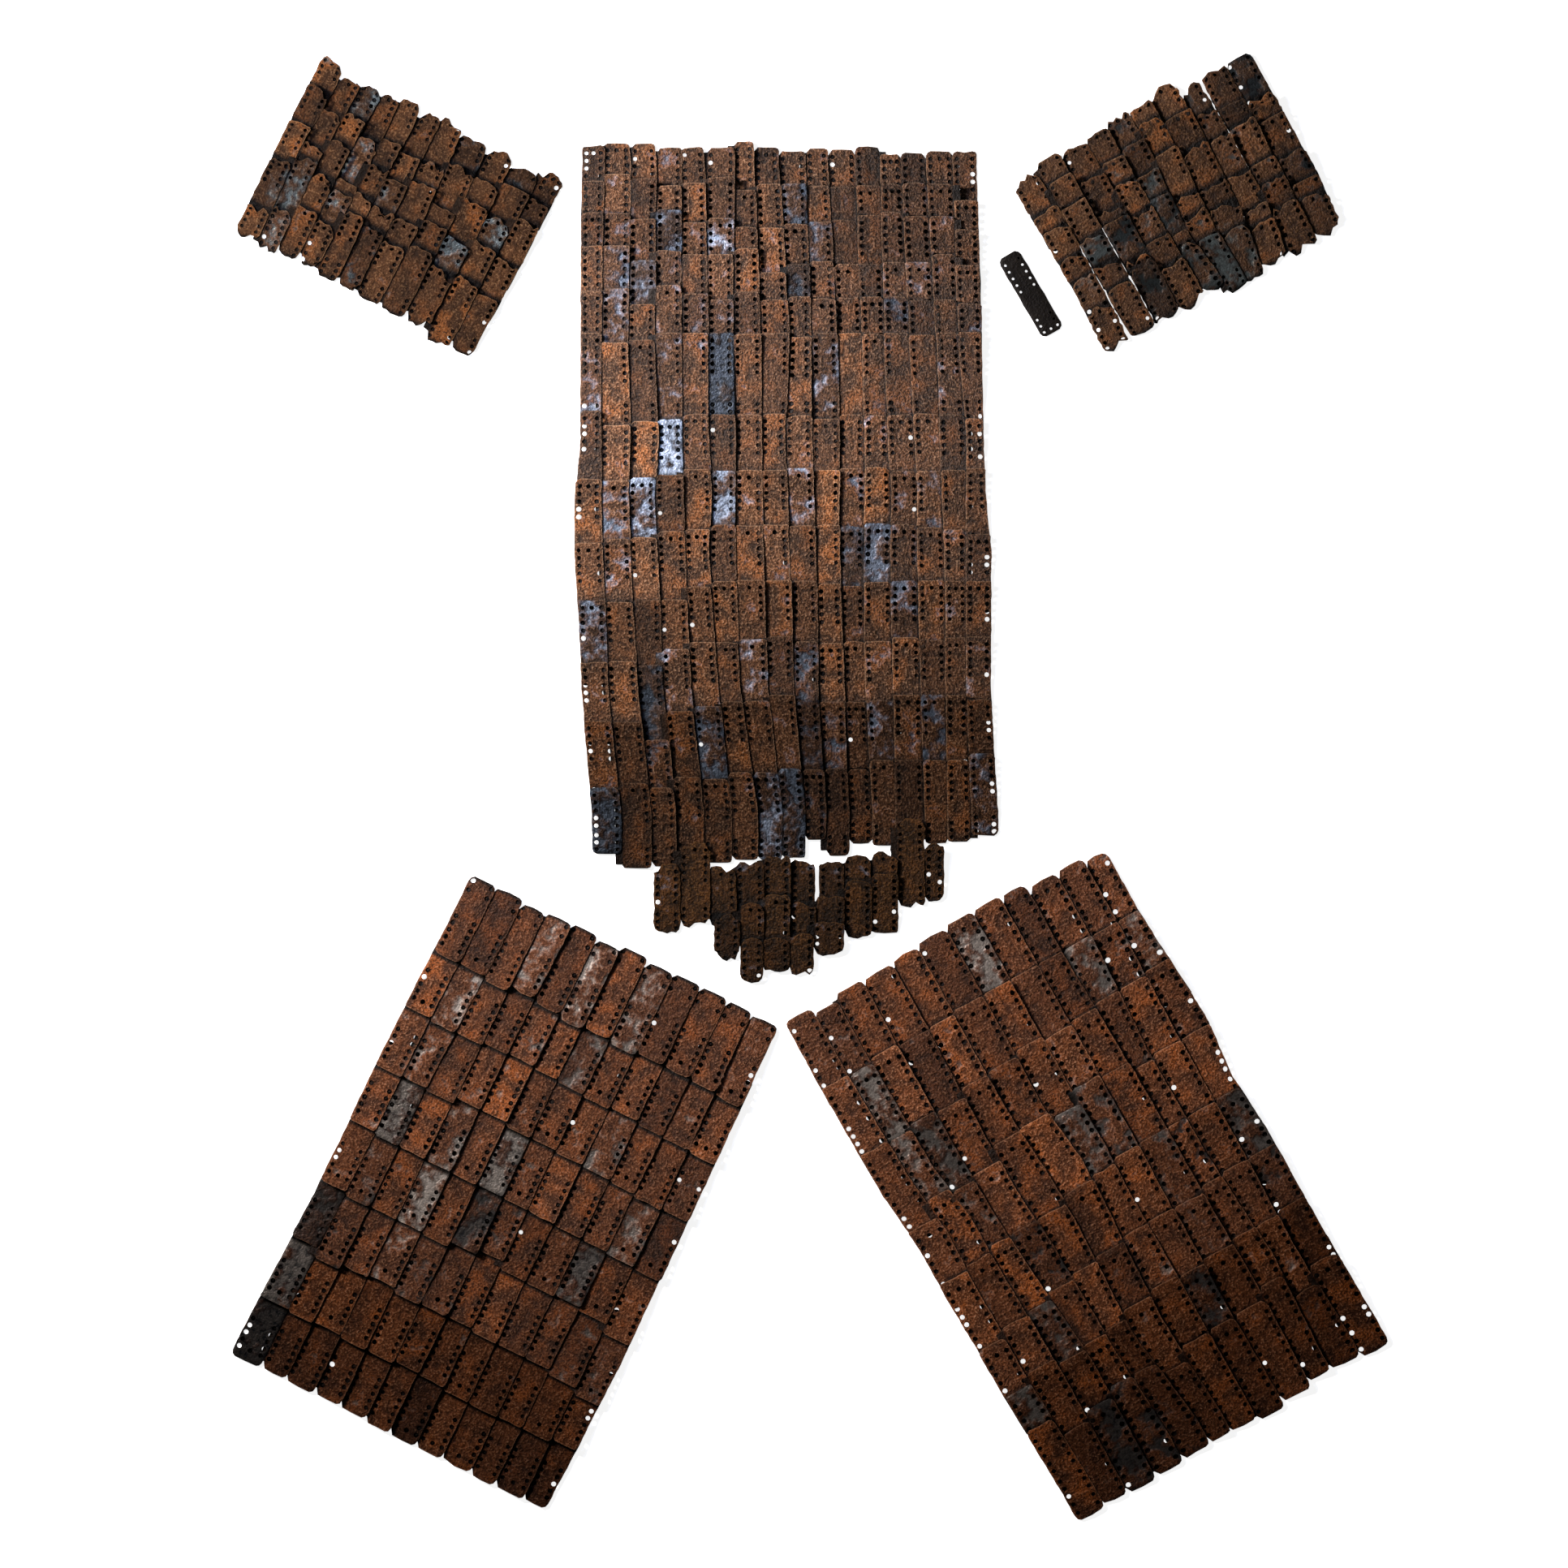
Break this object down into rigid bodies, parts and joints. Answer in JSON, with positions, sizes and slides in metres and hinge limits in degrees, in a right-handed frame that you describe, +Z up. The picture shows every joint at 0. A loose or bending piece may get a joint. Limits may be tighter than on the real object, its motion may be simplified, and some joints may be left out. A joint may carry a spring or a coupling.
{
  "type": "lamellar armour",
  "caption": "Laid-out lamellar armour of small rusted iron plates in overlapping rows: a body with a pointed skirt, thigh guards, shoulder guards and a loose lamella.",
  "frame": {"origin": "middle of the laid-out armour's outline, on the surface that it lies on", "axes": "+Y up the body to the neck edge, +X to the right as seen from above, +Z up from the surface"},
  "size_m": [1.2096, 1.5366, 0.0128],
  "materials": {
    "body_iron": "rusted iron with brown and orange rust and a few slate grey plates",
    "skirt_iron": "dark brown rusted iron",
    "thigh_left_iron": "reddish brown rusted iron",
    "thigh_right_iron": "reddish brown rusted iron",
    "shoulder_left_iron": "dark brown rusted iron",
    "shoulder_right_iron": "dark brown rusted iron",
    "loose_iron": "smooth near-black iron"
  },
  "bodies": {
    "root": {"body_row_01": "body_iron", "body_row_02": "body_iron", "body_row_03": "body_iron", "body_row_04": "body_iron", "body_row_05": "body_iron", "body_row_06": "body_iron", "body_row_07": "body_iron", "body_row_08": "body_iron", "body_row_09": "body_iron", "body_row_10": "body_iron", "body_row_11": "body_iron", "body_row_12": "body_iron", "body_row_13": "body_iron", "loose_lamella": "loose_iron", "shoulder_left_row_1": "shoulder_left_iron", "shoulder_left_row_2": "shoulder_left_iron", "shoulder_left_row_3": "shoulder_left_iron", "shoulder_left_row_4": "shoulder_left_iron", "shoulder_left_row_5": "shoulder_left_iron", "shoulder_right_row_1": "shoulder_right_iron", "shoulder_right_row_2": "shoulder_right_iron", "shoulder_right_row_3": "shoulder_right_iron", "shoulder_right_row_4": "shoulder_right_iron", "shoulder_right_row_5": "shoulder_right_iron", "shoulder_right_row_6": "shoulder_right_iron", "skirt_row_1_left": "skirt_iron", "skirt_row_1_right": "skirt_iron", "skirt_row_2": "skirt_iron", "skirt_row_3": "skirt_iron", "thigh_left_row_1": "thigh_left_iron", "thigh_left_row_2": "thigh_left_iron", "thigh_left_row_3": "thigh_left_iron", "thigh_left_row_4": "thigh_left_iron", "thigh_left_row_5": "thigh_left_iron", "thigh_left_row_6": "thigh_left_iron", "thigh_left_row_7": "thigh_left_iron", "thigh_left_row_8": "thigh_left_iron", "thigh_right_row_1": "thigh_right_iron", "thigh_right_row_2": "thigh_right_iron", "thigh_right_row_3": "thigh_right_iron", "thigh_right_row_4": "thigh_right_iron", "thigh_right_row_5": "thigh_right_iron", "thigh_right_row_6": "thigh_right_iron", "thigh_right_row_7": "thigh_right_iron", "thigh_right_row_8": "thigh_right_iron"}
  },
  "joints": []
}
